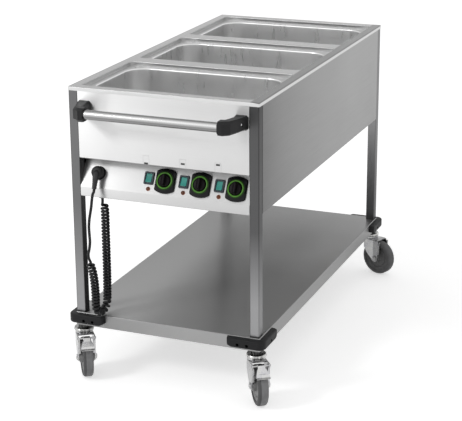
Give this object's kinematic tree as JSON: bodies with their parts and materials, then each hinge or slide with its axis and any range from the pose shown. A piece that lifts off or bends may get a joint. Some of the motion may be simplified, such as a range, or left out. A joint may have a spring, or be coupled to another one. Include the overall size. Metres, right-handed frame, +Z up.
{
  "type": "hostess trolley",
  "caption": "Heated serving trolley with pan wells in a sheet steel body, sloping controls, open lower shelf, push handle, corner bumpers, swivel castors and a curly mains lead.",
  "frame": {"origin": "on the floor, below the middle of the trolley's bounding box", "axes": "+Z up, +Y along the trolley from the handle end to the far end, +X across it to the right of a person pushing from the handle"},
  "size_m": [0.7736, 1.3255, 0.92],
  "materials": {
    "top_sheet": "brushed stainless sheet",
    "well_sheet": "smooth stainless sheet",
    "post_steel": "brushed stainless tube",
    "front_sheet": "brushed stainless sheet",
    "side_sheet": "brushed stainless sheet",
    "control_sheet": "satin stainless sheet",
    "cover_sheet": "plain stainless sheet",
    "shelf_sheet": "brushed stainless sheet",
    "handle_steel": "polished stainless tube",
    "bracket_moulding": "fine-grained moulding",
    "screw_zinc": "zinc plated",
    "bumper_rubber": "matt moulded rubber",
    "castor_zinc": "zinc plated pressed steel",
    "wheel_moulding": "grey moulded disc",
    "tyre_rubber": "grey elastic tread",
    "dial_black": "black moulding",
    "ring_green": "green trim",
    "switch_grey": "dark grey moulding",
    "rocker_teal": "translucent teal key",
    "lamp_amber": "amber lens",
    "thermostat_case": "moulded case",
    "heater_silicone": "silicone mat",
    "drain_brass": "turned brass",
    "lever_red": "red dipped lever",
    "gland_black": "black moulding",
    "socket_black": "black moulding",
    "cord_black": "black rubber sheath",
    "plug_black": "black moulded rubber"
  },
  "bodies": {
    "frame": {"top_plate": "top_sheet", "well_front": "well_sheet", "well_middle": "well_sheet", "well_rear": "well_sheet", "post_front_left": "post_steel", "post_front_right": "post_steel", "post_rear_left": "post_steel", "post_rear_right": "post_steel", "front_panel": "front_sheet", "rear_panel": "side_sheet", "side_panel_left": "side_sheet", "side_panel_right": "side_sheet", "control_panel": "control_sheet", "bottom_cover": "cover_sheet", "lower_shelf": "shelf_sheet", "handle_tube": "handle_steel", "handle_bracket_left": "bracket_moulding", "handle_bracket_right": "bracket_moulding", "handle_screws": "screw_zinc", "bumper_front_left": "bumper_rubber", "bumper_front_right": "bumper_rubber", "bumper_rear_left": "bumper_rubber", "bumper_rear_right": "bumper_rubber", "castor_heads": "castor_zinc", "dial_bezels": "dial_black", "dial_rings": "ring_green", "switch_frames": "switch_grey", "pilot_lamps": "lamp_amber", "thermostats": "thermostat_case", "heating_mats": "heater_silicone", "drain_valves": "drain_brass", "parking_socket": "socket_black", "cord_gland": "gland_black", "cord_top": "cord_black", "cord_curls": "cord_black", "cord_lead": "cord_black", "plug": "plug_black"},
    "swivel_front_left": {"fork_front_left": "castor_zinc"},
    "roller_front_left": {"wheel_front_left": "wheel_moulding", "tyre_front_left": "tyre_rubber"},
    "brake_left": {"brake_pedal_left": "castor_zinc"},
    "swivel_front_right": {"fork_front_right": "castor_zinc"},
    "roller_front_right": {"wheel_front_right": "wheel_moulding", "tyre_front_right": "tyre_rubber"},
    "brake_right": {"brake_pedal_right": "castor_zinc"},
    "swivel_rear_left": {"fork_rear_left": "castor_zinc"},
    "roller_rear_left": {"wheel_rear_left": "wheel_moulding", "tyre_rear_left": "tyre_rubber"},
    "swivel_rear_right": {"fork_rear_right": "castor_zinc"},
    "roller_rear_right": {"wheel_rear_right": "wheel_moulding", "tyre_rear_right": "tyre_rubber"},
    "dial_front": {"knob_front": "dial_black"},
    "switch_front": {"rocker_front": "rocker_teal"},
    "drain_front": {"drain_lever_front": "lever_red"},
    "dial_middle": {"knob_middle": "dial_black"},
    "switch_middle": {"rocker_middle": "rocker_teal"},
    "drain_middle": {"drain_lever_middle": "lever_red"},
    "dial_rear": {"knob_rear": "dial_black"},
    "switch_rear": {"rocker_rear": "rocker_teal"},
    "drain_rear": {"drain_lever_rear": "lever_red"}
  },
  "joints": [
    {"name": "swivel_front_left", "type": "hinge", "parent": "frame", "child": "swivel_front_left", "pos_m": [-0.288, -0.55375, 0.134], "axis": [0, 0, 1], "continuous": true},
    {"name": "spin_front_left", "type": "hinge", "parent": "swivel_front_left", "child": "roller_front_left", "pos_m": [-0.26563, -0.58691, 0.0625], "axis": [0.829, 0.5592, 0], "continuous": true},
    {"name": "brake_left", "type": "hinge", "parent": "swivel_front_left", "child": "brake_left", "pos_m": [-0.25557, -0.60183, 0.131], "axis": [0.829, 0.5592, 0], "range_deg": [0, 4]},
    {"name": "swivel_front_right", "type": "hinge", "parent": "frame", "child": "swivel_front_right", "pos_m": [0.288, -0.55375, 0.134], "axis": [0, 0, 1], "continuous": true},
    {"name": "spin_front_right", "type": "hinge", "parent": "swivel_front_right", "child": "roller_front_right", "pos_m": [0.31037, -0.58691, 0.0625], "axis": [0.829, 0.5592, 0], "continuous": true},
    {"name": "brake_right", "type": "hinge", "parent": "swivel_front_right", "child": "brake_right", "pos_m": [0.32043, -0.60183, 0.131], "axis": [0.829, 0.5592, 0], "range_deg": [0, 4]},
    {"name": "swivel_rear_left", "type": "hinge", "parent": "frame", "child": "swivel_rear_left", "pos_m": [-0.288, 0.62625, 0.134], "axis": [0, 0, 1], "continuous": true},
    {"name": "spin_rear_left", "type": "hinge", "parent": "swivel_rear_left", "child": "roller_rear_left", "pos_m": [-0.32534, 0.61192, 0.0625], "axis": [0.3584, -0.9336, 0], "continuous": true},
    {"name": "swivel_rear_right", "type": "hinge", "parent": "frame", "child": "swivel_rear_right", "pos_m": [0.288, 0.62625, 0.134], "axis": [0, 0, 1], "continuous": true},
    {"name": "spin_rear_right", "type": "hinge", "parent": "swivel_rear_right", "child": "roller_rear_right", "pos_m": [0.32534, 0.61192, 0.0625], "axis": [0.3584, 0.9336, 0], "continuous": true},
    {"name": "dial_front", "type": "hinge", "parent": "frame", "child": "dial_front", "pos_m": [0, -0.54843, 0.65103], "axis": [0, 0.887, -0.4617], "range_deg": [0, 270]},
    {"name": "switch_front", "type": "hinge", "parent": "frame", "child": "switch_front", "pos_m": [-0.054, -0.54659, 0.65458], "axis": [1, 0, 0], "range_deg": [0, 14]},
    {"name": "drain_front", "type": "hinge", "parent": "frame", "child": "drain_front", "pos_m": [0.166, -0.36675, 0.5575], "axis": [-1, 0, 0], "range_deg": [0, 90]},
    {"name": "dial_middle", "type": "hinge", "parent": "frame", "child": "dial_middle", "pos_m": [0.113, -0.54843, 0.65103], "axis": [0, 0.887, -0.4617], "range_deg": [0, 270]},
    {"name": "switch_middle", "type": "hinge", "parent": "frame", "child": "switch_middle", "pos_m": [0.059, -0.54659, 0.65458], "axis": [1, 0, 0], "range_deg": [0, 14]},
    {"name": "drain_middle", "type": "hinge", "parent": "frame", "child": "drain_middle", "pos_m": [0.166, 0.03625, 0.5575], "axis": [-1, 0, 0], "range_deg": [0, 90]},
    {"name": "dial_rear", "type": "hinge", "parent": "frame", "child": "dial_rear", "pos_m": [0.226, -0.54843, 0.65103], "axis": [0, 0.887, -0.4617], "range_deg": [0, 270]},
    {"name": "switch_rear", "type": "hinge", "parent": "frame", "child": "switch_rear", "pos_m": [0.172, -0.54659, 0.65458], "axis": [1, 0, 0], "range_deg": [0, 14]},
    {"name": "drain_rear", "type": "hinge", "parent": "frame", "child": "drain_rear", "pos_m": [0.166, 0.43925, 0.5575], "axis": [-1, 0, 0], "range_deg": [0, 90]}
  ]
}
